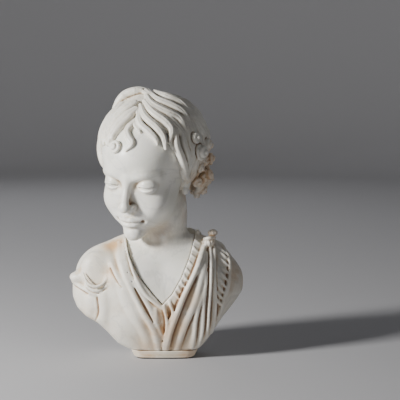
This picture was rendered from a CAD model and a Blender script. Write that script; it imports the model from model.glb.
import math

import bpy
import numpy as np
import openvdb as vdb
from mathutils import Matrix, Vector


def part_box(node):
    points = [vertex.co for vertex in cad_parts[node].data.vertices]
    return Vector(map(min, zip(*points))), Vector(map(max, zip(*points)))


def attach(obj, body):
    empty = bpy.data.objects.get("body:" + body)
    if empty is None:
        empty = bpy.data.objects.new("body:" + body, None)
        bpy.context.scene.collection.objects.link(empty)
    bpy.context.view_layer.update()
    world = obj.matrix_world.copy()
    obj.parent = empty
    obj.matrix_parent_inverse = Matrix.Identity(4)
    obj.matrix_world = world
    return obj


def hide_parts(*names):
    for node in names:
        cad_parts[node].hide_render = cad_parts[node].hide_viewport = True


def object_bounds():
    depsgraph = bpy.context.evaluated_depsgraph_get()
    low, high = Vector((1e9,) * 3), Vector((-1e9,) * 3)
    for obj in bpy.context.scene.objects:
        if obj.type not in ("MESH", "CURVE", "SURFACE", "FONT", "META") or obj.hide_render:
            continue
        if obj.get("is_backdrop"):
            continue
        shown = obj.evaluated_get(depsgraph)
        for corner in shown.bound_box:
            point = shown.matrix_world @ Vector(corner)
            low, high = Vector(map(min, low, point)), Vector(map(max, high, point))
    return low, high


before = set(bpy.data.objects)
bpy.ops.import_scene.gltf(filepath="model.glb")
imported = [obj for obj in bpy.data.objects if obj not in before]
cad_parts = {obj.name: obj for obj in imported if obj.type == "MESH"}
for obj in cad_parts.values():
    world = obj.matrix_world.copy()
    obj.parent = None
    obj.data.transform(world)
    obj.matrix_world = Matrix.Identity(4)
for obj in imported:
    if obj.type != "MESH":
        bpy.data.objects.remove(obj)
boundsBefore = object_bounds()
random = np.random.default_rng(7)
mm = 0.001  # the marble is shaped in millimetres and set down in metres
bodyBlend = 16  # how softly the main forms of head and torso melt together
reliefReach = (2.5, 8)  # how far around a spot its hollows are measured, fine and broad


def boxOf(name):  # the low and high corners of a frame node
    return [np.array(corner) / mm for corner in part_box(name)]


plinthLow, plinthHigh = boxOf("plinth")
fleshLow, fleshHigh = boxOf("head_and_neck")
feltLow, feltHigh = boxOf("base_felt")


def newPiece(name, points, faces):
    mesh = bpy.data.meshes.new(name)
    mesh.from_pydata(points, [], faces)
    piece = bpy.data.objects.new(name, mesh)
    bpy.context.scene.collection.objects.link(piece)
    return piece


# Clay: a block of distances to the surface, shaped by adding and cutting forms

def melted(a, b, blend):
    near = np.maximum(blend - np.abs(a - b), 0) / blend
    return np.minimum(a, b) - near * near * blend / 4


class Clay:
    def __init__(self, low, high, step):
        self.low = np.array(low, float)
        self.step = step
        self.shape = tuple(int(n) for n in np.ceil((np.array(high) - self.low) / step) + 1)
        self.field = np.full(self.shape, 40, np.float32)  # far from any form

    def part(self, low, high):
        first = np.clip(np.floor((np.array(low) - self.low) / self.step).astype(int), 0, self.shape)
        last = np.clip(np.ceil((np.array(high) - self.low) / self.step).astype(int) + 1, 0, self.shape)
        axes = [self.low[k] + self.step * np.arange(first[k], last[k]) for k in range(3)]
        return tuple(map(slice, first, last)), np.ix_(*[axis.astype(np.float32) for axis in axes])

    def add(self, form, blend, sign=1):
        margin = blend + 2
        here, spots = self.part(form.low - margin, form.high + margin)
        if all(axis.size for axis in spots):
            self.field[here] = sign * melted(sign * self.field[here], form.distance(spots), blend)

    def cut(self, form, blend):
        self.add(form, blend, -1)

    def keep(self, form, blend):  # what is outside the form goes
        spots = self.part(self.low, self.low + self.step * np.array(self.shape))[1]
        self.field = -melted(-self.field, -form.distance(spots), blend)

    def sampled(self, field, points):
        spot = (points - self.low) / self.step
        corner = np.clip(np.floor(spot).astype(int), 0, np.array(self.shape) - 2)
        share = spot - corner
        total = np.zeros(len(points))
        for offset in np.ndindex(2, 2, 2):
            weight = np.prod(np.where(np.array(offset) == 1, share, 1 - share), axis=1)
            total += weight * field[tuple((corner + offset).T)]
        return total

    def blurred(self, reach):  # three box blurs, close to a round one
        field = np.clip(self.field, -reach * 2, reach * 2)
        width = max(int(round(reach / self.step)), 1)
        for axis in (0, 1, 2) * 3:
            padding = [(0, 0)] * 3
            padding[axis] = (width + 1, width)
            sums = np.cumsum(np.pad(field, padding, mode="edge"), axis=axis, dtype=np.float64)
            ahead = np.take(sums, range(2 * width + 1, sums.shape[axis]), axis=axis)
            behind = np.take(sums, range(sums.shape[axis] - 2 * width - 1), axis=axis)
            field = ((ahead - behind) / (2 * width + 1)).astype(np.float32)
        return field

    def meshed(self, name, hidden=None):  # hidden gives 1 where detail may go first
        band, mostTriangles = 5, 195000
        grid = vdb.FloatGrid(background=band)
        grid.copyFromArray(np.clip(self.field, -band, band).astype(np.float32), tolerance=0)
        points, quads = grid.convertToQuads(isovalue=0)
        points = points * self.step + self.low
        piece = newPiece(name, (points * mm).tolist(), quads[:, ::-1].tolist())
        if 2 * len(quads) > mostTriangles:
            thin = piece.modifiers.new("thin", "DECIMATE")
            thin.ratio = mostTriangles / (2 * len(quads))
            if hidden is not None:
                group = piece.vertex_groups.new(name="hidden")
                group.add(np.flatnonzero(hidden(points)).tolist(), 1, "REPLACE")
                thin.vertex_group = "hidden"
                thin.vertex_group_factor = 10
            settle(piece)
            piece.vertex_groups.clear()
        mesh = piece.data
        mesh.polygons.foreach_set("use_smooth", np.ones(len(mesh.polygons), bool))
        points = np.empty(len(mesh.vertices) * 3)
        mesh.vertices.foreach_get("co", points)
        points = points.reshape(-1, 3) / mm
        for reach in reliefReach:
            values = self.sampled(self.blurred(reach), points) / reach
            layer = mesh.attributes.new(f"relief{reach:g}", "FLOAT", "POINT")
            layer.data.foreach_set("value", values.astype(np.float32))
        return piece


def settle(piece):  # turns a piece's modifiers into plain mesh
    depsgraph = bpy.context.evaluated_depsgraph_get()
    made = bpy.data.meshes.new_from_object(piece.evaluated_get(depsgraph))
    piece.modifiers.clear()
    piece.data = made
    made.name = piece.name


class Form:
    def __init__(self, low, high, distance):
        self.low, self.high = np.array(low, float), np.array(high, float)
        self.distance = distance


def ellipsoid(at, size, turn=None):
    axes = np.eye(3) if turn is None else np.array(turn)
    at, size = np.array(at, float), np.array(size, float)
    reach = np.sqrt(((axes * size) ** 2).sum(axis=1))

    def distance(spots):
        away = [spots[k] - at[k] for k in range(3)]
        along = [sum(axes[k][j] * away[k] for k in range(3)) / size[j] for j in range(3)]
        near = np.sqrt(along[0] ** 2 + along[1] ** 2 + along[2] ** 2)
        slope = np.sqrt(sum((along[j] / size[j]) ** 2 for j in range(3)))
        return near * (near - 1) / np.maximum(slope, 1e-6)

    return Form(at - reach, at + reach, distance)


def smoothLine(points, count):  # Catmull-Rom through the points, spaced evenly
    points = np.array(points, float)
    ends = np.vstack([2 * points[0] - points[1], points, 2 * points[-1] - points[-2]])
    fine, t = [], np.linspace(0, 1, 12, endpoint=False)[:, None]
    for i in range(len(points) - 1):
        a, b, c, d = ends[i : i + 4]
        fine.append(0.5 * (2 * b + (c - a) * t + (2 * a - 5 * b + 4 * c - d) * t**2
                           + (3 * b - a - 3 * c + d) * t**3))
    fine = np.vstack(fine + [points[-1:]])
    lengths = np.concatenate([[0], np.cumsum(np.linalg.norm(np.diff(fine, axis=0), axis=1))])
    at = np.linspace(0, lengths[-1], count)
    return np.stack([np.interp(at, lengths, fine[:, k]) for k in range(fine.shape[1])], axis=1)


def tube(points, radii, count=12):
    line = smoothLine(points, count)
    radii = np.interp(np.linspace(0, 1, count), np.linspace(0, 1, len(radii)), radii)

    def distance(spots):
        nearest = np.float32(1e3)
        for a, b, ra, rb in zip(line, line[1:], radii, radii[1:]):
            along = b - a
            away = [spots[k] - a[k] for k in range(3)]
            share = np.clip(sum(away[k] * along[k] for k in range(3)) / (along @ along), 0, 1)
            off = [away[k] - share * along[k] for k in range(3)]
            away = np.sqrt(off[0] ** 2 + off[1] ** 2 + off[2] ** 2)
            nearest = np.minimum(nearest, away - ra - (rb - ra) * share)
        return nearest

    wide = max(radii)
    return Form(line.min(axis=0) - wide, line.max(axis=0) + wide, distance)


def lock(line, normals, widths, heights, strands):
    # A ribbon of hair or cloth: oval in section, hair with rounded strands along its outer side
    count, strandDepth, slack = len(line), 1.0, 0.9  # slack keeps the distance from running ahead
    share = np.linspace(0, 1, count)
    widths = np.interp(share, np.linspace(0, 1, len(widths)), widths)
    heights = np.interp(share, np.linspace(0, 1, len(heights)), heights)
    along = np.gradient(line, axis=0)
    along /= np.linalg.norm(along, axis=1)[:, None]
    across = np.cross(along, normals)
    across /= np.linalg.norm(across, axis=1)[:, None]
    upward = np.cross(across, along)

    def distance(spots):
        shape = np.broadcast_shapes(*(s.shape for s in spots))
        nearest = np.full(shape, 1e6, np.float32)
        found = np.full(shape, 1e3, np.float32)
        for i in range(count - 1):
            a, side = line[i], line[i + 1] - line[i]
            away = [spots[k] - a[k] for k in range(3)]
            t = np.clip(sum(away[k] * side[k] for k in range(3)) / (side @ side), 0, 1)
            off = [away[k] - t * side[k] for k in range(3)]
            gap = off[0] ** 2 + off[1] ** 2 + off[2] ** 2
            closer = gap < nearest
            if not closer.any():
                continue
            u = sum(off[k] * (across[i][k] + t * (across[i + 1][k] - across[i][k])) for k in range(3))
            v = sum(off[k] * (upward[i][k] + t * (upward[i + 1][k] - upward[i][k])) for k in range(3))
            past = sum(off[k] * side[k] for k in range(3)) / np.linalg.norm(side)
            w = widths[i] + t * (widths[i + 1] - widths[i])
            h = heights[i] + t * (heights[i + 1] - heights[i])
            d = (np.sqrt((u / w) ** 2 + (v / h) ** 2 + (past / h) ** 2) - 1) * np.minimum(w, h) * slack
            if strands > 1:
                valley = 1 - np.abs(np.sin(np.pi * strands * (u / w + 1) / 2))
                d = d + strandDepth * valley**2 * np.clip(np.minimum(w, h) / 4, 0, 1)
            nearest = np.where(closer, gap, nearest)
            found = np.where(closer, d, found)
        return found

    wide = max(widths.max(), heights.max())
    return Form(line.min(axis=0) - wide, line.max(axis=0) + wide, distance)


def distanceToAll(forms, blend, points):
    spots = [points[:, k] for k in range(3)]
    total = np.full(len(points), 1e3)
    for form in forms:
        total = melted(total, form.distance(spots), blend)
    return total


def whereMet(starts, directions, forms, blend=8):
    # Where rays first meet the forms, or pass nearest to them, and the way the surface faces there
    rayLength, rayStep = 260, 1.5
    reach = np.arange(0, rayLength, rayStep)
    spots = starts[:, None, :] + directions[:, None, :] * reach[None, :, None]
    near = distanceToAll(forms, blend, spots.reshape(-1, 3)).reshape(len(starts), -1)
    hit = np.where((near < 0).any(axis=1), (near < 0).argmax(axis=1), near.argmin(axis=1))
    rows = np.arange(len(starts))
    before = np.maximum(hit - 1, 0)
    a, b = near[rows, before], near[rows, hit]
    share = np.where((a > 0) & (b < 0), a / np.maximum(a - b, 1e-6), 1)
    points = starts + directions * (reach[before] + share * rayStep)[:, None]
    slope = np.stack([
        distanceToAll(forms, blend, points + shift) - distanceToAll(forms, blend, points - shift)
        for shift in np.eye(3)
    ], axis=1)
    return points, slope / np.linalg.norm(slope, axis=1)[:, None]


def seenFrom(line, count, forms, side=-1):  # [x, z] laid on the front, or with side 1 on the back
    line, clear = smoothLine(line, count), 170.0  # rays start clear of the stone
    starts = np.stack([line[:, 0], np.full(count, clear * side), line[:, 1]], axis=1)
    return whereMet(starts, np.tile([0, -1.0 * side, 0], (count, 1)), forms, bodyBlend)


def slabBehind(normal, offset):  # everything on the side that the normal points away from
    normal = np.array(normal, float) / np.linalg.norm(normal)
    big = np.full(3, 1e3)
    return Form(-big, big, lambda spots: sum(normal[k] * spots[k] for k in range(3)) - offset)


# Head: its place, and a way to write forms about its own middle

def turnAbout(axis, degrees):
    c, s = math.cos(math.radians(degrees)), math.sin(math.radians(degrees))
    i, j = [(1, 2), (2, 0), (0, 1)][axis]
    turn = np.eye(3)
    turn[i, i] = turn[j, j] = c
    turn[i, j], turn[j, i] = -s, s
    return turn


headCentre = np.array([-22.0, -12, 290])
headTurn = turnAbout(2, -25) @ turnAbout(0, 19) @ turnAbout(1, 4)
headShape = np.array([1, 1, 0.94])


def headSpot(at):
    return (np.array(at, float) * headShape) @ headTurn.T + headCentre


def headBall(at, size):
    return ellipsoid(headSpot(at), np.array(size) * headShape, headTurn)


def headTube(points, radii, count=12):
    return tube(headSpot(points), radii, count)


def bothSides(at):
    return [at, (-at[0], *at[1:])]


# Torso: the same forms as the solid, then its folds

bustForms = [
    ellipsoid((-3, 2, 84), (112, 66, 98)),  # rib cage
    ellipsoid((-85, 4, 97), (56, 46, 60)),  # sitter's right shoulder
    ellipsoid((71, 8, 98), (51, 46, 62)),  # sitter's left shoulder
    ellipsoid((-4, 12, 148), (95, 46, 41)),  # slope of the neck
    ellipsoid((-44, -34, 118), (44, 26, 34)),  # breast
    ellipsoid((38, -34, 118), (42, 26, 34)),
]
neckForm = ellipsoid((-7, 5, 212), (41, 40, 82))
drapeThickness = 3.4
neckline = np.array([
    (-62, 215), (-57, 180), (-51, 157), (-36, 129), (-17, 105), (-2, 88),
    (12, 103), (25, 126), (37, 154), (45, 180), (49, 215),
], float)
tenonPlan = dict(middle=(-6, -30), size=(72, 80))  # the round back of the wedge, seen from above


def outlineDistance(corners, x, z):  # below nothing inside a closed outline, seen from the front
    nearest, inside = np.float32(1e6), False
    for (ax, az), (bx, bz) in zip(corners, np.roll(corners, -1, axis=0)):
        dx, dz = bx - ax, bz - az
        share = np.clip(((x - ax) * dx + (z - az) * dz) / (dx * dx + dz * dz), 0, 1)
        nearest = np.minimum(nearest, (x - ax - share * dx) ** 2 + (z - az - share * dz) ** 2)
        slope = (x - ax) * dz - (z - az) * dx
        inside = inside ^ ((az <= z) & (bz > z) & (slope < 0)) ^ ((bz <= z) & (az > z) & (slope > 0))
    return np.where(inside, -1, 1) * np.sqrt(nearest)


def throughFront(corners):
    corners = np.array(corners, float)

    def distance(spots):  # the third axis only gives the result its shape
        return outlineDistance(corners, spots[0], spots[2]) + 0 * spots[1]

    low, high = corners.min(axis=0), corners.max(axis=0)
    return Form((low[0], -300, low[1]), (high[0], 300, high[1]), distance)


def tenon(distanceOut):  # the wedge of the neckline with its round back
    wedge = throughFront([*neckline, (neckline[-1][0], 600), (neckline[0][0], 600)])
    plan = ellipsoid((*tenonPlan["middle"], 0), (*tenonPlan["size"], 1e5))
    return Form(
        (-90, -130, 60), (90, 70, 600),
        lambda spots: np.maximum(wedge.distance(spots), plan.distance(spots)) - distanceOut,
    )


drillRoom = 0.3  # between a hole and the lead in it


def drill(clay, name, below, top=None):  # an upright hole round the lead that stands in it
    low, high = boxOf(name)
    x, y = (low + high)[:2] / 2
    top = high[2] + drillRoom if top is None else top
    clay.cut(upright(x, y, (high - low)[0] / 2 + drillRoom, low[2] - below, top), 0.3)


def upright(x, y, radius, bottom, top):
    def distance(spots):
        side = np.hypot(spots[0] - x, spots[1] - y) - radius
        return np.maximum(side, np.maximum(bottom - spots[2], spots[2] - top))

    return Form((x - radius, y - radius, bottom), (x + radius, y + radius, top), distance)


# Flesh: face, neck and bare chest in one stone

fleshLook = dict(step=1.2, room=(6, 4), neckHole=(-5, 2, 5.3, 50, 148.3), hairRoom=31)
skullForms = [  # each form and how softly it melts into the others
    (headBall((0, 14, 22), (66, 78, 75)), bodyBlend),  # cranium
    (headBall((0, -20, 27), (55, 56, 50)), bodyBlend),  # forehead
    (headBall((0, -26, -26), (53, 50, 56)), bodyBlend),  # face
    *[(headBall(at, (24, 38, 27)), bodyBlend) for at in bothSides((20, -31, -60))],  # jaw
    *[(headBall(at, (21, 23, 22)), 15) for at in bothSides((29, -47, -38))],  # cheeks
    (headBall((0, -57, -83), (17, 20, 15)), 12),  # chin
    (headBall((0, -24, -74), (26, 38, 17)), 12),  # under the chin
]
hairCap = headBall((-1, 23, 24), (74, 81, 72))
napeHair = headBall((0, 45, -36), (68, 42, 44))
hairParting = headTurn @ np.array([0, -0.64, -0.768])  # the hair lies behind this slant
partingOffset = headCentre @ hairParting


def chestAndNeck(low, high):
    chest = Clay(low, high, fleshLook["step"])
    for form in bustForms:
        chest.add(form, bodyBlend)
    chest.field += drapeThickness
    chest.add(neckForm, 14)
    for line in ([(-13, 184), (-26, 206), (-40, 232)], [(2, 184), (14, 206), (27, 230)]):
        laid, out = seenFrom(line, 8, [neckForm, *bustForms])
        chest.add(tube(laid - out * 4, [3, 7, 8], 8), 10)  # muscles of the neck
    for line in ([(-12, 176), (-30, 181), (-52, 180)], [(4, 176), (20, 180), (42, 180)]):
        laid, out = seenFrom(line, 8, bustForms)
        chest.add(tube(laid - out * (drapeThickness + 2), [3, 4, 4], 8), 8)  # collar bones
    chest.keep(tenon(0), 0.8)
    socket, bedTop, bedFront = tenon(-3), 142, -34

    def besideBed(spots):  # room for the mortar round the foot of the wedge
        box = np.maximum(spots[2] - bedTop, bedFront - spots[1])
        return np.maximum(box, -socket.distance(spots))

    chest.cut(Form((-90, bedFront, 60), (90, 70, bedTop), besideBed), 0.5)
    return chest


def eyeOpening(middle, width, height, drop):
    # The almond between the lids: two arcs that meet at the corners
    def distance(spots):
        away = [spots[k] - middle[k] for k in range(3)]
        along = [sum(headTurn[k][j] * away[k] for k in range(3)) for j in range(3)]
        radius = (width**2 + height**2) / (2 * height)
        upper = np.hypot(along[0], along[2] - drop + radius - height) - radius
        lower = np.hypot(along[0], along[2] - drop - radius + height) - radius
        return np.maximum(np.maximum(upper, lower), along[1])

    return Form(middle - 18, middle + 18, distance)


def shapeFace(clay):
    for side in (-1, 1):
        def at(x, y, z):
            return (side * x, y, z)

        clay.add(headTube([at(8, -69, 9), at(24, -68, 15), at(40, -55, 9)], [4, 5.5, 4]), 12)  # brow
        clay.cut(headBall(at(26, -80, -3), (15, 12, 9)), 9)  # socket
        clay.cut(headBall(at(13, -81, -4), (5, 9, 7)), 6)
        eye = headSpot(at(26.5, -60.5, -4))
        clay.add(ellipsoid(eye, (12.5, 12.5, 12.5)), 1)
        lids = ellipsoid(eye, (14.2, 14.2, 14.2))
        opening = eyeOpening(eye, 12.5, 4.4, -1.6)
        lidForm = Form(lids.low, lids.high, lambda spots, lids=lids, opening=opening: -melted(
            -lids.distance(spots), opening.distance(spots), 0.6))
        clay.add(lidForm, 2.4)
        rim = [at(14, -68.5, -5), at(19, -73, -1.6), at(27, -75, -0.4), at(35, -71.5, -2),
               at(40, -65, -6)]
        clay.add(headTube(rim, [0.9, 1.5, 1.7, 1.5, 0.8]), 1.2)  # edge of the upper lid
        under = [at(15, -69, -7), at(21, -72.4, -9.4), at(29, -73, -10), at(37, -68, -8.6)]
        clay.add(headTube(under, [0.7, 1.1, 1.1, 0.8]), 1.6)
        clay.cut(headTube([at(15, -73, 1), at(26, -77.5, 5), at(39, -69, 1)], [1.2, 2, 1.2]), 4)  # crease
    bridge = [(0, -71.5, 9), (0, -76.5, -4), (0, -83, -18), (0, -88, -30)]
    clay.add(headTube(bridge, [4.8, 4.8, 5.4, 6]), 7)
    clay.add(headBall((0, -88.5, -34.5), (7.4, 7.6, 6.4)), 5)  # tip
    for side in (-1, 1):
        clay.add(headBall((side * 8.4, -80.5, -36.5), (5, 8, 5.4)), 3.5)  # wings
    clay.add(headTube([(0, -88, -37), (0, -80, -42)], [3.2, 3.2]), 3)
    for side in (-1, 1):
        clay.cut(headBall((side * 4.7, -84.5, -42), (2.3, 4.2, 3)), 1.4)  # nostrils
    clay.add(headBall((0, -65, -60), (23, 16, 17)), 12)  # mound of the mouth
    clay.cut(headTube([(0, -85.5, -46), (0, -85.5, -53)], [1.6, 2.2]), 3)  # philtrum
    upper = [(-19, -73, -60.5), (-11, -79.5, -58), (-4, -82.8, -56.3), (0, -82.2, -57.4),
             (4, -82.8, -56.3), (11, -79.5, -58), (19, -73, -60.5)]
    clay.add(headTube(upper, [1, 2.8, 3.4, 3.2, 3.4, 2.8, 1], 16), 2.2)
    lower = [(-17, -74, -62.6), (-8, -80, -65.6), (0, -81.6, -66.4), (8, -80, -65.6), (17, -74, -62.6)]
    clay.add(headTube(lower, [1, 3.6, 4.2, 3.6, 1], 16), 2.4)
    parted = [(-20, -74.5, -61), (-10, -82, -61), (0, -85.4, -60.6), (10, -82, -61), (20, -74.5, -61)]
    clay.cut(headTube(parted, [0.7, 1, 1.1, 1, 0.7], 14), 1.2)
    for side in (-1, 1):
        clay.cut(headBall((side * 20.5, -75, -61.5), (2.6, 3, 2.6)), 4)
    clay.cut(headBall((0, -86, -75), (13, 7, 4)), 7)  # above the chin
    clay.add(headBall((0, -72, -86), (12, 9, 10)), 10)
    for side in (-1, 1):  # ears, mostly under the hair
        clay.add(headBall((side * 57, 4, -18), (7, 12, 20)), 5)
        clay.add(headBall((side * 57, -3, -38), (4.5, 6, 7)), 3)
        clay.cut(headBall((side * 64, -1, -14), (4, 5, 12)), 3)


def tenonOrHead():  # the throat may not melt outwards over the drapery
    wedge, above = tenon(0), slabBehind((0, 0.35, -1), -172)
    head = headBall((0, -14, -16), (80, 100, 96))
    return Form((-300,) * 3, (300,) * 3, lambda spots: np.minimum(
        wedge.distance(spots), np.minimum(above.distance(spots) + 30, head.distance(spots))))


def makeFlesh():
    low, high = fleshLow - fleshLook["room"][0], fleshHigh + fleshLook["room"][1]
    clay = Clay(low, high, fleshLook["step"])
    for form, blend in skullForms:
        clay.add(form, blend)
    shapeFace(clay)
    clay.field = melted(clay.field, chestAndNeck(low, high).field, 9)
    clay.keep(tenonOrHead(), 0.6)
    clay.cut(upright(*fleshLook["neckHole"]), 0.3)
    clay.cut(slabBehind(hairParting, partingOffset - fleshLook["hairRoom"]), 0.5)
    return clay


# Hair

hairLook = dict(low=(-122, -110, 210), high=(92, 118, 408), step=1.2, turnFrom=72, turnTo=288,
                napeTurns=(132, 290, 15.5), napeHeight=-56, napeCurl=(9, 11))
hairBase = [form for form, _ in skullForms] + [hairCap, napeHair]
hairMiddle = np.array([0, 18, 20.0])


def fromFront(line, count=20):  # [x, z] of the front view, laid on the head
    return seenFrom(line, count, hairBase)


def fromMiddle(line, count=20):  # [turn, height] in degrees about the head's middle
    line = np.radians(smoothLine(line, count))
    turn, height = line[:, 0], line[:, 1]
    flat = np.cos(height)
    out = np.stack([np.sin(turn) * flat, -np.cos(turn) * flat, np.sin(height)], axis=1)
    return whereMet(headSpot(hairMiddle + out * 160), -out @ headTurn.T, hairBase)


def layLock(clay, laid, width, height, lift, strands):
    points, normals = laid
    share = np.linspace(0, 1, len(points))
    taper = np.interp(share, [0, 0.22, 0.6, 0.85, 1], [0.55, 1, 1, 0.75, 0.3])
    lifts = np.interp(share, np.linspace(0, 1, np.size(lift)), np.atleast_1d(lift))
    line = points + normals * lifts[:, None]
    clay.add(lock(line, normals, width * taper, height * (0.35 + 0.65 * taper), strands), 1)


def layCurl(clay, laid, radius, turns, thick, lean, spin, lift=4.0):
    # A lock rolled into a snail: its spiral climbs as it closes
    count, tail = 28, 0.35  # the tail is the part of a turn that runs out of the curl
    point, normal = laid[0][0], laid[1][0]
    side = np.cross(normal, [0.2, 0.1, 1])
    side /= np.linalg.norm(side)
    up = np.cross(side, normal)
    point = point + normal * lift
    clay.cut(ellipsoid(point + normal * radius * 0.9, (radius * 1.2,) * 3), 1)  # lies in a hollow
    core = ellipsoid(point, radius * np.array([0.7, 0.7, 0.5]), np.stack([side, up, normal], axis=1))
    clay.add(core, 1)
    turn = np.linspace(0, 2 * np.pi * (turns + tail), count) * spin + lean
    rings = np.linspace(radius - thick * 0.5, thick * 0.2, count)[:, None]
    rise = (radius * np.linspace(0.0, 0.6, count))[:, None]
    line = point + normal * rise + rings * (np.cos(turn)[:, None] * side + np.sin(turn)[:, None] * up)
    clay.add(tube(line, [thick * 0.3, thick * 0.56, thick * 0.6, thick * 0.5], count), 0.2)


# Locks seen from the front: the line they follow, half width, height, lift and strands
frontLocks = [
    # the raised tuft over the parting, sweeping to the sitter's right
    ([(-14, 386), (-30, 391), (-46, 390), (-60, 383), (-72, 370)], 10, 7, (1, 4, 4, 1), 3),
    ([(-46, 384), (-62, 374), (-76, 358), (-84, 340), (-84, 322)], 11, 6, 1, 4),
    ([(-40, 378), (-56, 368), (-70, 353), (-78, 337), (-77, 322)], 11, 7, 2, 3),
    ([(-38, 370), (-49, 361), (-62, 348), (-71, 334), (-73, 320)], 10, 7, 2.5, 3),
    # between the parting and the forehead, over two broad combed sheets
    ([(-24, 382), (-10, 368), (5, 352), (12, 336)], 14, 4.5, 0, 6),
    ([(-12, 388), (14, 376), (32, 358), (38, 338)], 15, 4.5, 0, 6),
    ([(-40, 356), (-50, 343), (-48, 333), (-43, 325), (-51, 315)], 5.5, 5, 1, 2),
    ([(-37, 360), (-38, 350), (-32, 340)], 4.5, 4, 0.6, 2),
    ([(-35, 368), (-32, 352), (-20, 341), (-11, 332), (-8, 324)], 5.5, 5.5, 1.5, 2),
    ([(-32, 375), (-25, 360), (-10, 347), (0, 334), (3, 318)], 6.5, 6, 2, 3),
    ([(-27, 380), (-15, 366), (2, 354), (11, 342), (8, 326)], 7, 6.5, 2.5, 3),
    ([(-24, 386), (-15, 375), (3, 366), (20, 358), (30, 342)], 8, 7, 2.5, 3),
    ([(-19, 389), (-8, 381), (10, 374), (26, 364), (37, 346)], 8, 7, 2.5, 3),
    ([(-14, 391), (4, 385), (22, 377), (36, 362), (42, 344)], 9, 7, 2, 4),
    # temple and ear
    ([(12, 336), (11, 326), (14, 316)], 2.6, 3, 0.6, 1),
    ([(17, 342), (18, 322), (24, 306), (29, 289), (31, 276), (37, 268)], 6, 6, 2.5, 2),
    ([(26, 338), (29, 322), (34, 306), (36, 290)], 6, 6, 1, 2),
]

# Locks down both sides: [turn, height] about the head's middle
sideLocks = [
    ([(20, 84), (40, 70), (58, 54), (68, 36), (70, 20)], 11, 7, 1.5, 4),
    ([(40, 84), (62, 66), (80, 48), (88, 30), (84, 12)], 11, 7, 1.5, 4),
    ([(80, 84), (92, 64), (104, 44), (106, 24), (98, 8)], 11, 7, 1.5, 4),
    ([(-40, 80), (-56, 62), (-64, 42), (-68, 22), (-70, 2)], 11, 4, 0.5, 4),
    ([(-70, 84), (-80, 62), (-84, 40), (-86, 18), (-84, -6), (-88, -22)], 11, 4.5, 0.5, 4),
    ([(-100, 84), (-98, 62), (-100, 40), (-102, 16), (-100, -8), (-104, -26)], 11, 5, 0.5, 4),
    ([(-58, 34), (-66, 14), (-68, -6), (-74, -20)], 8, 4, 0.5, 3),
]

frontCurls = [  # [x, z] of the front view, radius, turns, thickness, starting angle, direction, lift
    ((-66, 320), 12, 1.6, 4.6, 0.6, -1, 1),
    ((42, 330), 12, 1.2, 4.8, 1.2, 1, 4),
    ((48, 310), 14, 1.6, 5.4, 0.2, -1, 8),
    ((62, 294), 12, 1.5, 5, 2.2, 1, 5),
    ((48, 287), 10, 1.4, 4.4, 4.2, -1, 5),
    ((60, 271), 12, 1.5, 5, 0.8, -1, 5),
    ((46, 264), 10, 1.4, 4.4, 3.0, 1, 5),
    ((54, 250), 10, 1.4, 4.4, 5.2, -1, 4),
]
sideCurls = [  # [turn, height] about the head's middle, then as above
    ((84, 6), 13, 1.5, 5, 2.2, 1, 5),
    ((104, 4), 13, 1.5, 5, 0.4, -1, 5),
    ((122, -6), 12, 1.5, 4.8, 1.6, 1, 5),
    ((96, -18), 12, 1.4, 4.6, 4.0, -1, 5),
    ((114, -24), 12, 1.4, 4.6, 3.0, 1, 5),
    ((104, -40), 12, 1.3, 4.4, 0.0, -1, 4),
    ((122, -42), 12, 1.3, 4.4, 2.0, -1, 4),
    ((112, -56), 10, 1.3, 4, 3.4, -1, 3),
]


def backLocks():
    # Three tiers that overlap like tiles, each lock waved and a little different from the next
    tiers = [
        dict(count=13, start=84, end=40, width=11, height=6, lift=0.5, wave=5),
        dict(count=17, start=56, end=4, width=11, height=7, lift=1.5, wave=6),
        dict(count=19, start=22, end=-34, width=10, height=7.5, lift=2, wave=7),
        dict(count=19, start=-8, end=-58, width=9, height=7, lift=2, wave=6),
    ]
    first, last = hairLook["turnFrom"], hairLook["turnTo"]
    for number, tier in enumerate(tiers):
        for i in range(tier["count"]):
            turn = first + (last - first) * (i + 0.5 * (number % 2)) / (tier["count"] - 1)
            turn += random.uniform(-3, 3)
            phase = random.uniform(0, 1.2) + i * 0.9
            share = np.linspace(0, 1, 7)
            gather = (1 - share) if number == 0 else 0
            turns = turn + tier["wave"] * np.sin(phase + share * 5.2) + gather * (180 - turn) * 0.55
            end = tier["end"] + random.uniform(-5, 5)
            heights = tier["start"] + (end - tier["start"]) * share
            yield (np.stack([turns, heights], axis=1), tier["width"] * random.uniform(0.9, 1.15),
                   tier["height"], (0.5, tier["lift"], tier["lift"], 0.5), int(random.integers(3, 5)))


def makeHair():
    clay = Clay(hairLook["low"], hairLook["high"], hairLook["step"])
    clay.add(hairCap, 1)
    clay.add(napeHair, 12)
    clay.keep(slabBehind(hairParting, partingOffset - 4), 0.5)
    for line, *shape in backLocks():
        layLock(clay, fromMiddle(line), *shape)
    for turn in np.arange(*hairLook["napeTurns"]):
        at = (turn + random.uniform(-4, 4), hairLook["napeHeight"] + random.uniform(-6, 6))
        radius, lean = random.uniform(*hairLook["napeCurl"]), random.uniform(0, 6)
        layCurl(clay, fromMiddle([at, at], 1), radius, 1.4, 4.2, lean, random.choice([-1, 1]))
    for rows, laid in ((sideLocks, fromMiddle), (frontLocks, fromFront)):
        for line, *shape in rows:
            layLock(clay, laid(line), *shape)
    for rows, laid in ((sideCurls, fromMiddle), (frontCurls, fromFront)):
        for at, *shape in rows:
            layCurl(clay, laid([at, at], 1), *shape)
    return clay


# Drapery: the tunic, its pleated sleeve, and the cloak knotted on the sitter's left shoulder

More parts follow.
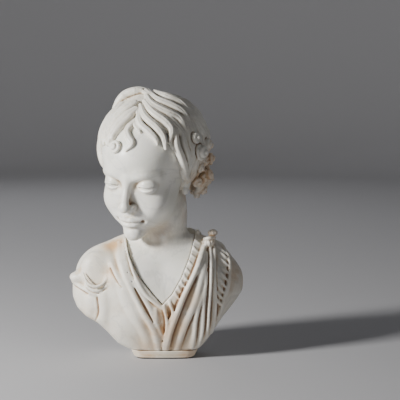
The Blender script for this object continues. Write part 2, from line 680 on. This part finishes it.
drapeLook = dict(low=(-152, -84, 8), high=(134, 82, 200), step=1.3, foldPoints=20,
                 hollowMiddle=(47, 72, 88), hollowSize=(31, 34, 50), chiselStrokes=90)
drapeOutline = [
    (-50, 0), (50, 0), (50, 12), (57, 19), (66, 31), (86, 62), (105, 84), (118, 99), (121.5, 115),
    (118, 131), (108, 144), (104, 260), (-134, 260), (-134, 130), (-141, 112), (-140, 90), (-132, 73),
    (-117, 60), (-99, 52), (-84, 38), (-70, 22), (-56, 15), (-50, 12),
]

# Each fold: the line it follows from above, half width, height, then the sides that have a groove
folds = [
    # tunic, falling from the sitter's left shoulder to the middle
    ([(61, 169), (50, 144), (32, 109), (21, 80), (12, 51), (5, 22), (3, 10)], 4.8, 6, -1, 1),
    ([(64, 158), (49, 102), (31, 58), (19, 14)], 5.6, 3.4, 1),
    ([(58, 112), (49, 66), (41, 18)], 3.4, 2.6, 1),
    ([(62, 134), (60, 88), (56, 48), (51, 20)], 3, 2.8, 1),
    ([(69, 164), (67, 113), (66, 66), (63, 34)], 3.2, 4, -1, 1),
    ([(75, 165), (75, 113), (74, 66), (71, 40)], 3, 3.2, 1),
    ([(1.5, 88), (4, 58), (0, 12)], 3.2, 3.8, -1, 1),
    ([(9, 93), (13, 80), (9, 62)], 3, 3.2, -1, 1),
    ([(-28, 92), (-16, 72), (-9, 48), (-5, 18)], 3.2, 2.6, 1),
    ([(-12, 82), (-9, 62), (-3, 34)], 2.6, 2.8),
    # edges of the tunic and the cloak on the sitter's right
    ([(-56, 176), (-50, 151), (-43, 132), (-26, 105), (-3, 84)], 3, 4, -1),
    ([(-61, 171), (-52, 136), (-37, 107), (-19, 82), (-6, 70)], 3.4, 3.2, -1),
    ([(-68, 172), (-61, 144), (-46, 113), (-30, 78), (-14, 44), (-8, 10)], 4.6, 5, 1),
    ([(-64, 118), (-44, 76), (-28, 40), (-18, 14)], 7, 3),
    ([(-90, 108), (-89, 80), (-94, 54)], 7, 3, -1),
    ([(-89, 160), (-81, 153), (-75, 141), (-67, 130), (-54, 113)], 3.8, 4, -1),
    # hem of the sleeve on the sitter's right
    ([(-139, 114), (-128, 110), (-114, 106), (-98, 105), (-83, 113)], 3.2, 4.4, -1),
    ([(-112, 96), (-110, 80), (-112, 64)], 6, 2),
    # sleeve on the sitter's left
    ([(84, 168), (96, 146), (96, 122), (88, 96), (80, 66)], 3, 2.6, -1),
    ([(105, 142), (113, 122), (108, 98)], 6, 2),
]

backFolds = [
    ([(62, 172), (24, 168), (-22, 166), (-66, 158)], 7, 4.5, 1),
    ([(72, 166), (36, 150), (-16, 144), (-74, 138), (-112, 128)], 8, 5, 1),
    ([(80, 156), (54, 134), (8, 124), (-40, 126), (-96, 112)], 7, 4.5, 1),
    ([(94, 142), (98, 112), (88, 78)], 7, 4, -1),
    ([(106, 134), (112, 108), (104, 90)], 6, 3),
    ([(-112, 132), (-116, 104), (-104, 70)], 8, 4, -1),
    ([(-4, 58), (-2, 36), (-6, 16)], 9, 3),
]


def drapedDistance(spots):
    # The torso, cut to its outline and drawn in towards the plinth in front and behind
    total = np.float32(1e3)
    for form in bustForms:
        total = melted(total, form.distance(spots), bodyBlend)
    front = np.interp(spots[2] - plinthHigh[2], [0, 10, 30, 62, 100], [35, 40, 50, 64, 90])
    total = -melted(-total, front - np.abs(spots[1]), 8)
    return -melted(-total, -throughFront(drapeOutline).distance(spots), 12)


drapedForm = Form((-150, -80, 8), (130, 80, 198), drapedDistance)


def layFold(clay, line, width, height, *grooves, side=-1):
    count = drapeLook["foldPoints"]
    points, out = seenFrom(line, count, [drapedForm], side)
    along = np.gradient(points, axis=0)
    across = np.cross(out, along) * -side
    across /= np.linalg.norm(across, axis=1)[:, None]
    share = np.linspace(0, 1, count)
    swell = 1 + 0.14 * np.sin(share * 9 + width * 7) + 0.06 * np.sin(share * 23 + height * 5)
    points = points + across * (1.1 * np.sin(share * 7 + height * 3))[:, None]
    crest = lock(points, out, width * swell * np.interp(share, [0, 0.1, 0.9, 1], [0.5, 1, 1, 0.6]),
                 height * np.interp(share, [0, 0.12, 0.85, 1], [0.4, 1, 0.9, 0.4]), 1)
    clay.add(crest, 3)
    for which in grooves:
        groove = points + across * (width * 1.12 * which) + out * 0.5
        clay.cut(tube(groove, [0.3, 1.5, 1.7, 1.5, 0.5], 14), 1.6)


def layPleats(clay, line, count, reach, radius):
    # Short leaf-like pleats in a row, each lying over the next
    points, out = seenFrom(line, count, [drapedForm])
    for i in range(count):
        slant = np.array([reach[0], 0, reach[1]]) * random.uniform(0.85, 1.2)
        slant -= out[i] * (slant @ out[i])
        ends = [points[i] - slant * 0.5, points[i] + slant * 0.5]
        sag = np.array([0, 0, -1.2])
        middle = (ends[0] + ends[1]) / 2 + out[i] * radius * 0.3 + sag
        clay.add(tube([ends[0], middle, ends[1]], [radius * 0.4, radius, radius * 0.4], 8), 2)
        groove = np.array([ends[0], middle, ends[1]]) + (0, 0, -radius * 1.3) + out[i] * 0.3
        clay.cut(tube(groove, [0.2, 0.6, 0.2], 8), 1)


def makeKnot(clay):
    knobs = [((66, -12, 173), (9, 10, 8)), ((72, -8, 186), (7.5, 8, 5.5))]
    for at, size in knobs:
        clay.add(ellipsoid(at, size), 3)
    for turn in np.arange(0, 360, 40):
        a = math.radians(turn)
        for (x, y, z), (w, d, h) in knobs:
            rows = ((0.5, 0, 0.95), (1.02, 0.2, 0), (0.6, 0.5, -0.9))  # reach, twist and height
            crease = [(x + w * reach * math.cos(a + twist), y + d * reach * math.sin(a + twist),
                       z + h * high) for reach, twist, high in rows]
            clay.cut(tube(crease, [0.4, 1.1, 0.5], 8), 1)
    clay.add(tube([(59, -14, 178), (66, -22, 180), (75, -15, 180)], [2, 2.6, 2], 10), 1)


def makeBoss(clay):  # cloth bunched over the sitter's right shoulder
    clay.add(ellipsoid((-92, -4, 132), (34, 34, 33)), 16)
    clay.add(ellipsoid((-101, -29, 136), (21, 13, 24)), 10)
    for drop, depth in ((4, 20), (11, 14), (18, 8)):
        arc = [(-119 + drop * 0.2, -22, 136), (-112, -30, 123), (-99, -33, 117), (-87, -30, 123),
               (-81, -24, 136)]
        arc = [(x, y - depth, z - drop) for x, y, z in arc]
        clay.add(tube(arc, [1, 2.2, 2.6, 2.2, 1]), 3)
        clay.cut(tube(np.array(arc) + (0, -1.5, 3.2), [0.4, 1.1, 1.2, 1.1, 0.4]), 1.6)
    clay.add(ellipsoid((-127, -20, 122), (13, 12, 8)), 6)
    clay.cut(ellipsoid((-127, -32, 136), (4, 5, 3)), 3)


def makeDrape():
    clay = Clay(drapeLook["low"], drapeLook["high"], drapeLook["step"])
    clay.add(drapedForm, 0.1)
    for fold in backFolds:
        layFold(clay, *fold, side=1)
    for fold in folds:
        layFold(clay, *fold)
    layPleats(clay, [(82, 168), (90, 149), (89, 128), (84, 109), (80, 90)], 10, (13, -13), 2.5)
    layPleats(clay, [(50, 184), (42, 158), (33, 137), (26, 122), (18, 105)], 10, (7, -13), 2.4)
    makeBoss(clay)
    makeKnot(clay)
    clay.add(tube([(-52, 0, 190), (-46, 34, 184), (-8, 50, 178), (34, 38, 182), (50, 4, 186)],
                  [3, 5.5, 6, 5.5, 3], 20), 6)  # the cloak's roll behind the neck
    size = drapeLook["hollowSize"]
    for side in (-1, 1):
        hollow = np.array(drapeLook["hollowMiddle"]) * (side, 1, 1)
        clay.cut(ellipsoid(hollow, size), 3)
        for _ in range(drapeLook["chiselStrokes"]):
            way = random.normal(size=3) * (1, 0.6, 1) - (0, 0.9, 0)
            drift = random.uniform(-0.06, 0.06)
            stroke = np.array([way + (drift * k, 0, 0.16 * k) for k in (-1, 0, 1)])
            stroke /= np.linalg.norm(stroke, axis=1)[:, None]
            clay.cut(tube(hollow + stroke * (np.array(size) - 1), [0.4, 1.7, 0.4], 6), 1.2)
    clay.keep(slabBehind((0, 0, -1), -boxOf("draped_bust")[0][2]), 0.4)
    clay.cut(tenon(0.6), 0.3)
    drill(clay, "neck_dowel_lead", 1)
    drill(clay, "plinth_dowel_lead", 1)
    return clay


# Plinth, with worn corners

plinthLook = dict(step=0.7, corner=14, taper=5.5, bow=3.4, bowFrom=36, edge=2.2, chips=34,
                  chipSize=(0.8, 2.6))


def makePlinth():
    low, high, corner, taper = plinthLow, plinthHigh, plinthLook["corner"], plinthLook["taper"]
    clay = Clay(low - 3, high + 3, plinthLook["step"])
    half = (high - low) / 2

    def body(spots):  # smaller at its foot, with long sides that bow out a little
        share = (high[2] - spots[2]) / (high[2] - low[2])
        bow = plinthLook["bow"] * np.minimum(np.abs(spots[0]) / plinthLook["bowFrom"], 1.2) ** 2
        x = np.abs(spots[0]) + share * taper - half[0] + corner
        y = np.abs(spots[1]) * half[1] / (half[1] - bow) + share * taper - half[1] + corner
        edge = np.hypot(np.maximum(x, 0), np.maximum(y, 0)) + np.minimum(np.maximum(x, y), 0) - corner
        flat = np.abs(spots[2] - (low[2] + high[2]) / 2) - half[2]
        return -melted(-edge, -flat, plinthLook["edge"])

    clay.add(Form(low, high, body), 0.1)
    for _ in range(plinthLook["chips"]):
        turn = random.uniform(0, 2 * math.pi)
        spot = np.array([half[0] * math.cos(turn), half[1] * math.sin(turn)])
        spot *= min(half[0] / max(abs(spot[0]), 1e-3), half[1] / max(abs(spot[1]), 1e-3))
        top = random.random() < 0.5
        spot -= np.sign(spot) * (0 if top else taper)
        size = random.uniform(*plinthLook["chipSize"])
        clay.cut(ellipsoid((*spot, high[2] if top else low[2]), (size * 1.6, size, size * 0.7)), 0.5)
    drill(clay, "plinth_dowel_lead", drillRoom, high[2] + 2)
    return clay


# Joint and felt: thin slabs, with grains and fibres scattered over them

def roundedPlan(halfWide, halfDeep, corner, steps=10):
    plan = []
    for x, y, first in ((1, -1, -90), (1, 1, 0), (-1, 1, 90), (-1, -1, 180)):
        for i in range(steps + 1):
            turn = math.radians(first + 90 * i / steps)
            plan.append((x * (halfWide - corner) + corner * math.cos(turn),
                         y * (halfDeep - corner) + corner * math.sin(turn)))
    return np.array(plan)


def thinSlab(name, plan, low, high, edge):
    inner = 1 - edge / 40  # the rounded edge draws in by about its own height
    rings = [(low, inner), (low + edge, 1), (high - edge, 1), (high, inner)]
    points = np.array([(*(spot * scale), z) for z, scale in rings for spot in plan]) * mm
    count = len(plan)
    faces = [(a + i, a + (i + 1) % count, a + count + (i + 1) % count, a + count + i)
             for a in range(0, 3 * count, count) for i in range(count)]
    faces += [tuple(reversed(range(count))), tuple(range(3 * count, 4 * count))]
    return newPiece(name, points.tolist(), faces)


class Nodes:  # short ways to add and join nodes
    def __init__(self, tree):
        self.tree = tree

    def add(self, kind, inputs=None, **settings):
        node = self.tree.nodes.new(kind)
        for name, value in settings.items():
            setattr(node, name, value)
        for name, value in (inputs or {}).items():
            self.put(node.inputs[name], value)
        return node

    def put(self, socket, value):
        if isinstance(value, bpy.types.NodeSocket):
            self.tree.links.new(value, socket)
        else:
            socket.default_value = value

    def math(self, operation, a, b=0.0, clamp=False):
        return self.add("ShaderNodeMath", {0: a, 1: b}, operation=operation, use_clamp=clamp).outputs[0]

    def ramp(self, value, low, high, toLow=0.0, toHigh=1.0):
        inputs = {"Value": value, "From Min": low, "From Max": high, "To Min": toLow, "To Max": toHigh}
        return self.add("ShaderNodeMapRange", inputs, interpolation_type="SMOOTHSTEP").outputs[0]

    def noise(self, vector, scale, detail=4.0, roughness=0.55, distortion=0.0):
        inputs = {"Vector": vector, "Scale": scale, "Detail": detail, "Roughness": roughness,
                  "Distortion": distortion}
        return self.add("ShaderNodeTexNoise", inputs).outputs["Fac"]

    def mix(self, share, a, b):
        return self.add("ShaderNodeMix", {0: share, 6: a, 7: b}, data_type="RGBA").outputs[2]

    def bump(self, strength, distance, height, **more):
        inputs = {"Strength": strength, "Distance": distance, "Height": height}
        return self.add("ShaderNodeBump", {**inputs, **more}).outputs[0]


def newGroup(name, inputs, outputs, kind="ShaderNodeTree"):
    # An input is given by its first value or, as an output is, by what it carries
    tree = bpy.data.node_groups.new(name, kind)
    for socket, value in inputs.items():
        carries = value if isinstance(value, str) else type(value).__name__.capitalize()
        made = tree.interface.new_socket(socket, in_out="INPUT", socket_type="NodeSocket" + carries)
        if carries != value:
            made.default_value = value
    for socket, carries in outputs.items():
        tree.interface.new_socket(socket, in_out="OUTPUT", socket_type="NodeSocket" + carries)
    nodes = Nodes(tree)
    return tree, nodes, nodes.add("NodeGroupInput").outputs, nodes.add("NodeGroupOutput").inputs


def makeScatter(name, shape):  # scatters a small shape over the faces, standing along their normals
    tree, nodes, given, result = newGroup(name, {
        "Geometry": "Geometry", "Density": 1e6, "Size": 0.0003, "Seed": 3, "Keep Ground": True,
        "Material": "Material"}, {"Geometry": "Geometry"}, "GeometryNodeTree")
    spots = nodes.add("GeometryNodeDistributePointsOnFaces", {
        "Mesh": given["Geometry"], "Density": given["Density"], "Seed": given["Seed"]})
    if shape == "grain":
        form = nodes.add("GeometryNodeMeshIcoSphere", {"Radius": given["Size"], "Subdivisions": 1})
    else:
        line = nodes.add("GeometryNodeCurvePrimitiveLine", {
            "Start": (0, 0, 0), "Direction": (0.6, 0.1, 1), "Length": given["Size"]}, mode="DIRECTION")
        ring = nodes.add("GeometryNodeCurvePrimitiveCircle", {"Resolution": 3, "Radius": 0.00002})
        form = nodes.add("GeometryNodeCurveToMesh", {
            "Curve": line.outputs["Curve"], "Profile Curve": ring.outputs["Curve"]})
    size = nodes.add("FunctionNodeRandomValue", {
        2: 0.4, 3: 1.4, "Seed": given["Seed"]}, data_type="FLOAT")
    spin = nodes.add("FunctionNodeRandomValue", {1: (0.5, 0.5, 6.28)}, data_type="FLOAT_VECTOR")
    turned = nodes.add("FunctionNodeRotateRotation", {
        0: spots.outputs["Rotation"], 1: spin.outputs[0]}, rotation_space="LOCAL")
    placed = nodes.add("GeometryNodeInstanceOnPoints", {
        "Points": spots.outputs["Points"], "Instance": form.outputs["Mesh"],
        "Rotation": turned.outputs[0], "Scale": size.outputs[1]})
    real = nodes.add("GeometryNodeRealizeInstances", {"Geometry": placed.outputs["Instances"]})
    ground = nodes.add("GeometryNodeSwitch", {
        "Switch": given["Keep Ground"], "True": given["Geometry"]}, input_type="GEOMETRY")
    both = nodes.add("GeometryNodeJoinGeometry", {0: real.outputs[0]})
    nodes.put(both.inputs[0], ground.outputs[0])
    last = nodes.add("GeometryNodeRealizeInstances", {"Geometry": both.outputs[0]})
    dressed = nodes.add("GeometryNodeSetMaterial", {
        "Geometry": last.outputs[0], "Material": given["Material"]})
    nodes.put(result["Geometry"], dressed.outputs[0])
    return tree


def grow(piece, tree, **values):  # runs a geometry node tree on a piece and keeps its mesh
    grown = piece.modifiers.new("grow", "NODES")
    grown.node_group = tree
    for item in tree.interface.items_tree:
        if item.in_out == "INPUT" and item.name.replace(" ", "") in values:
            grown[item.identifier] = values[item.name.replace(" ", "")]
    settle(piece)


# Materials

def tint(red, green, blue):  # an everyday 0 to 255 colour as linear light
    def linear(c):
        c /= 255
        return c / 12.92 if c <= 0.04045 else ((c + 0.055) / 1.055) ** 2.4

    return (linear(red), linear(green), linear(blue), 1)


def makeVeins():  # faint grey veins and clouds in the stone
    tree, nodes, given, result = newGroup(
        "veins", {"Vector": "Vector", "Scale": 9.0, "Width": 0.03}, {"Vein": "Float", "Cloud": "Float"})
    bent = nodes.noise(given["Vector"], given["Scale"], 5.0, 0.6, 1.2)
    ridge = nodes.math("ABSOLUTE", nodes.math("SUBTRACT", bent, 0.5))
    nodes.put(result["Vein"], nodes.ramp(ridge, given["Width"], 0.0))
    cloudScale = nodes.math("MULTIPLY", given["Scale"], 2.3)
    nodes.put(result["Cloud"], nodes.noise(given["Vector"], cloudScale, 3.0))
    return tree


def makePatina():  # dirt held in hollows, and edges rubbed clean
    tree, nodes, given, result = newGroup(
        "patina", {"Vector": "Vector", "Fine": 0.0, "Broad": 0.0, "Spread": 1.0},
        {"Dirt": "Float", "Crevice": "Float", "Worn": "Float"})
    cloud = nodes.noise(given["Vector"], 46.0, 6.0, 0.65)
    speck = nodes.noise(given["Vector"], 230.0, 3.0, 0.6)
    fine = nodes.ramp(given["Fine"], -0.03, -0.26)
    broad = nodes.ramp(given["Broad"], 0.0, -0.3)
    both = nodes.math("MAXIMUM", fine, nodes.math("MULTIPLY", broad, 0.8))
    broken = nodes.ramp(cloud, 0.3, 0.62, 0.35, 1.0)
    dirt = nodes.math("MULTIPLY", nodes.math("MULTIPLY", both, broken), given["Spread"], clamp=True)
    grit = nodes.math("MULTIPLY", nodes.ramp(speck, 0.58, 0.72),
                      nodes.math("MULTIPLY", given["Spread"], 0.22))
    nodes.put(result["Dirt"], nodes.math("MAXIMUM", dirt, grit, clamp=True))
    nodes.put(result["Crevice"], nodes.ramp(given["Fine"], -0.17, -0.42))
    nodes.put(result["Worn"], nodes.ramp(given["Fine"], 0.06, 0.3))
    return tree


def makeStoneSkin():  # the crystalline grain and the shallow unevenness of worked stone
    tree, nodes, given, result = newGroup(
        "stoneSkin", {"Vector": "Vector", "Grain": 0.2, "Waves": 0.2},
        {"Normal": "Vector", "Roughness": "Float"})
    grain = nodes.noise(given["Vector"], 900.0, 2.0, 0.6)
    waves = nodes.noise(given["Vector"], 90.0, 3.0, 0.5)
    coarse = nodes.bump(given["Waves"], 0.0016, waves)
    nodes.put(result["Normal"], nodes.bump(given["Grain"], 0.0003, grain, Normal=coarse))
    nodes.put(result["Roughness"], nodes.math("MULTIPLY", nodes.math("SUBTRACT", waves, 0.5), 0.4))
    return tree


veins, patina, stoneSkin = makeVeins(), makePatina(), makeStoneSkin()


def newMaterial(name):
    material = bpy.data.materials.new(name)
    material.use_nodes = True
    nodes = Nodes(material.node_tree)
    coords = nodes.add("ShaderNodeTexCoord").outputs["Object"]
    return material, nodes, coords


def finish(material, nodes, **values):  # sets the surface, with its sockets' names written as one word
    surface = material.node_tree.nodes["Principled BSDF"]
    for socket in surface.inputs:
        if socket.name.replace(" ", "") in values:
            nodes.put(socket, values[socket.name.replace(" ", "")])
    return material


def marble(name, base, shade, dirt, crevice, spread, roughness, grain, waves, stains):
    # spread is how much dirt the hollows hold
    material, nodes, coords = newMaterial(name)
    fine, broad = (nodes.add("ShaderNodeAttribute", attribute_name=f"relief{reach:g}").outputs["Fac"]
                   for reach in reliefReach)
    vein = nodes.add("ShaderNodeGroup", {}, node_tree=veins)
    nodes.put(vein.inputs["Vector"], coords)
    old = nodes.add("ShaderNodeGroup", {}, node_tree=patina)
    for socket, value in {"Vector": coords, "Fine": fine, "Broad": broad, "Spread": spread}.items():
        nodes.put(old.inputs[socket], value)
    skin = nodes.add("ShaderNodeGroup", {}, node_tree=stoneSkin)
    for socket, value in {"Vector": coords, "Grain": grain, "Waves": waves}.items():
        nodes.put(skin.inputs[socket], value)
    colour = nodes.mix(nodes.ramp(vein.outputs["Cloud"], 0.35, 0.7), tint(*base), tint(*shade))
    colour = nodes.mix(nodes.math("MULTIPLY", vein.outputs["Vein"], 0.22), colour, tint(168, 168, 162))
    stain = 0.0
    for at, reach, strength in stains:  # yellowed patches: middle in millimetres, reach and strength
        away = nodes.add("ShaderNodeVectorMath", {0: coords, 1: tuple(np.array(at) * mm)},
                         operation="DISTANCE")
        patch = nodes.ramp(away.outputs["Value"], reach * mm, reach * mm * 0.2, 0.0, strength)
        stain = patch if isinstance(stain, float) else nodes.math("MAXIMUM", stain, patch)
    broken = nodes.ramp(nodes.noise(coords, 38.0, 6.0, 0.7), 0.28, 0.55)
    colour = nodes.mix(nodes.math("MULTIPLY", stain, broken), colour, tint(206, 164, 114))
    colour = nodes.mix(nodes.math("MULTIPLY", old.outputs["Worn"], 0.4), colour, tint(240, 237, 228))
    colour = nodes.mix(old.outputs["Dirt"], colour, tint(*dirt))
    colour = nodes.mix(nodes.math("MULTIPLY", old.outputs["Crevice"], 0.85), colour, tint(*crevice))
    uneven = nodes.math("ADD", roughness, skin.outputs["Roughness"])
    rough = nodes.math("ADD", uneven, nodes.math("MULTIPLY", old.outputs["Dirt"], 0.3), clamp=True)
    return finish(material, nodes, BaseColor=colour, Roughness=rough, Normal=skin.outputs["Normal"],
                  IOR=1.49, SubsurfaceWeight=0.2, SubsurfaceRadius=(1.0, 0.85, 0.65),
                  SubsurfaceScale=0.004)


def plainMaterial(name, light, dark, roughness, metallic, scale, bump):
    material, nodes, coords = newMaterial(name)
    cloud = nodes.noise(coords, scale, 6.0, 0.65)
    return finish(material, nodes, Metallic=metallic,
                  BaseColor=nodes.mix(nodes.ramp(cloud, 0.3, 0.7), tint(*light), tint(*dark)),
                  Roughness=nodes.ramp(cloud, 0.2, 0.8, roughness - 0.12, roughness + 0.1),
                  Normal=nodes.bump(bump, 0.0006, nodes.noise(coords, scale * 7, 3.0)))


fleshMarble = marble(
    "fleshMarble", (236, 234, 227), (227, 226, 216), (196, 180, 148), (134, 106, 76),
    spread=0.5, roughness=0.36, grain=0.12, waves=0.1,
    stains=[((-8, -40, 190), 34, 0.35), ((30, 0, 225), 40, 0.3)])
hairMarble = marble(
    "hairMarble", (232, 229, 219), (219, 214, 202), (180, 158, 124), (104, 78, 54),
    spread=0.75, roughness=0.42, grain=0.2, waves=0.2,
    stains=[((56, 16, 276), 74, 0.8), ((-20, 60, 260), 60, 0.4)])
drapeMarble = marble(
    "drapeMarble", (234, 230, 219), (224, 217, 202), (192, 160, 118), (126, 92, 62),
    spread=0.7, roughness=0.44, grain=0.22, waves=0.2,
    stains=[((2, -62, 54), 50, 0.85), ((-76, -14, 172), 26, 0.9), ((-74, -40, 128), 24, 0.8),
            ((34, -60, 96), 30, 0.5), ((-128, -30, 135), 10, 0.9), ((70, -10, 180), 18, 0.7),
            ((100, -10, 120), 34, 0.4), ((0, 70, 90), 90, 0.5), ((-104, -20, 74), 26, 0.5),
            ((0, -40, 14), 60, 0.6)])
plinthMarble = marble(
    "plinthMarble", (232, 222, 203), (216, 201, 175), (190, 158, 118), (126, 92, 62),
    spread=0.9, roughness=0.5, grain=0.3, waves=0.3,
    stains=[((-30, -38, 4), 34, 0.9), ((40, -38, 8), 30, 0.9), ((0, 38, 6), 40, 0.8)])
mortar = plainMaterial("limeMortar", (150, 126, 96), (112, 88, 62), 0.88, 0.0, 260, 0.8)
iron = plainMaterial("wroughtIron", (84, 74, 66), (96, 58, 38), 0.62, 0.85, 120, 0.6)
lead = plainMaterial("castLead", (112, 114, 118), (84, 86, 90), 0.55, 0.9, 90, 0.3)
felt = plainMaterial("feltCloth", (62, 61, 57), (44, 43, 40), 0.92, 0.0, 700, 0.9)
for name, material in {"socket_mortar": mortar, "neck_dowel": iron, "plinth_dowel": iron,
                       "neck_dowel_lead": lead, "plinth_dowel_lead": lead}.items():
    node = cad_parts[name]
    node.data.materials.clear()
    node.data.materials.append(material)
print("materials made")


# Pieces

def buried(points):  # where the marble is out of sight and detail may go first
    spots = [points[:, k] for k in range(3)]
    inSocket = (tenon(-1.5).distance(spots) < 0) & (points[:, 2] < 172)
    return inSocket | (distanceToAll(bustForms, bodyBlend, points) < -6)


def place(piece, material, slot, *nodes):
    if material is not None:
        piece.data.materials.clear()
        piece.data.materials.append(material)
    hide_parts(*nodes)
    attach(piece, "root")


place(makeFlesh().meshed("fleshStone", hidden=buried), fleshMarble, "flesh_marble", "head_and_neck")
print("flesh made")
place(makeHair().meshed("hairLocks"), hairMarble, "flesh_marble", "head_and_neck")
print("hair made")
place(makeDrape().meshed("drapedStone"), drapeMarble, "draped_marble", "draped_bust")
print("drapery made")
place(makePlinth().meshed("plinthBlock"), plinthMarble, "plinth_marble", "plinth")
print("plinth made")

jointLook = dict(inset=1, corner=14, edge=0.15, grains=350000.0, grainSize=0.0003)
jointLow, jointHigh = boxOf("plinth_mortar")
jointHalf = (jointHigh - jointLow)[:2] / 2
joint = thinSlab("jointMortar", roundedPlan(*(jointHalf - jointLook["inset"]), jointLook["corner"]),
                 jointLow[2], jointHigh[2], jointLook["edge"])
grow(joint, makeScatter("grains", "grain"), Density=jointLook["grains"], Size=jointLook["grainSize"],
     Seed=5, KeepGround=True, Material=mortar)
place(joint, None, "mortar", "plinth_mortar")

feltLook = dict(corner=13, edge=0.3, fibres=400000.0, fibreLength=0.0006, clearOfFloor=0.9)
feltHalf = (feltHigh - feltLow)[:2] / 2
pad = thinSlab("feltPad", roundedPlan(*feltHalf, feltLook["corner"]), feltLow[2], feltHigh[2],
               feltLook["edge"])
place(pad, felt, "felt", "base_felt")
fibres = thinSlab("feltFibres", roundedPlan(*(feltHalf - 0.3), feltLook["corner"]),
                  feltLow[2] + feltLook["clearOfFloor"], feltHigh[2] - 0.2, 0.1)
grow(fibres, makeScatter("fibres", "fibre"), Density=feltLook["fibres"], Size=feltLook["fibreLength"],
     Seed=8, KeepGround=False, Material=felt)
place(fibres, None, "felt", "base_felt")
print("joint and felt made")


# Camera, light and floor

view = dict(aim=(0.053, 0, 0.234), rise=7, lens=126, distance=2.08)
rise = math.radians(view["rise"])
lens = bpy.data.cameras.new("camera")
lens.lens = view["lens"]
camera = bpy.data.objects.new("camera", lens)
away = Vector((0, -math.cos(rise), math.sin(rise)))
camera.location = Vector(view["aim"]) + away * view["distance"]
camera.rotation_euler = (math.pi / 2 - rise, 0, 0)
bpy.context.scene.collection.objects.link(camera)
bpy.context.scene.camera = camera

lights = [  # name, where it stands, the height it points at, power, size and colour
    ("key", (-1.6, -1.0, 0.85), 0.24, 82, 0.34, (1, 0.985, 0.96)),
    ("fill", (1.5, -1.8, 0.9), 0.2, 2, 1.6, (0.95, 0.97, 1)),
    ("back", (-0.6, 1.9, 1.3), 0.2, 6, 1.4, (0.97, 0.98, 1)),
]
for name, at, aimHeight, energy, size, colour in lights:
    light = bpy.data.lights.new(name, "AREA")
    light.energy, light.size, light.color = energy, size, colour
    lamp = bpy.data.objects.new(name, light)
    lamp.location = at
    lamp.rotation_euler = (Vector((0, 0, aimHeight)) - Vector(at)).to_track_quat("-Z", "Y").to_euler()
    bpy.context.scene.collection.objects.link(lamp)
world = bpy.data.worlds.new("studio")
world.use_nodes = True
sky = world.node_tree.nodes["Background"].inputs
sky["Color"].default_value, sky["Strength"].default_value = (0.62, 0.63, 0.65, 1), 0.12
bpy.context.scene.world = world

studioLook = dict(floor=2.6, curve=1.2, height=4.2, curveSteps=24, around=96, paper=(178, 178, 181))


def makeStudio():  # a floor that curves up into a wall all round
    flat, curve, around = studioLook["floor"], studioLook["curve"], studioLook["around"]
    profile = [(flat + curve * math.sin(t), curve - curve * math.cos(t))
               for t in np.linspace(0, math.pi / 2, studioLook["curveSteps"])]
    profile.append((flat + curve, studioLook["height"]))
    points = [(r * math.sin(2 * math.pi * i / around), r * math.cos(2 * math.pi * i / around), z)
              for r, z in profile for i in range(around)]
    faces = [tuple(reversed(range(around)))]
    for ring in range(len(profile) - 1):
        for i in range(around):
            a, b = ring * around + i, ring * around + (i + 1) % around
            faces.append((a, b, b + around, a + around))
    studio = newPiece("studio", points, faces)
    studio.data.polygons.foreach_set("use_smooth", [len(face) == 4 for face in faces])
    paper = bpy.data.materials.new("paper")
    paper.use_nodes = True
    surface = paper.node_tree.nodes["Principled BSDF"]
    surface.inputs["Base Color"].default_value = tint(*studioLook["paper"])
    surface.inputs["Roughness"].default_value = 0.9
    studio.data.materials.append(paper)
    return studio


makeStudio()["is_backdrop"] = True

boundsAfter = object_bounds()
[[list(map(float, corner)) for corner in each]
           for each in (boundsBefore, boundsAfter)]
print("size", boundsBefore, boundsAfter)
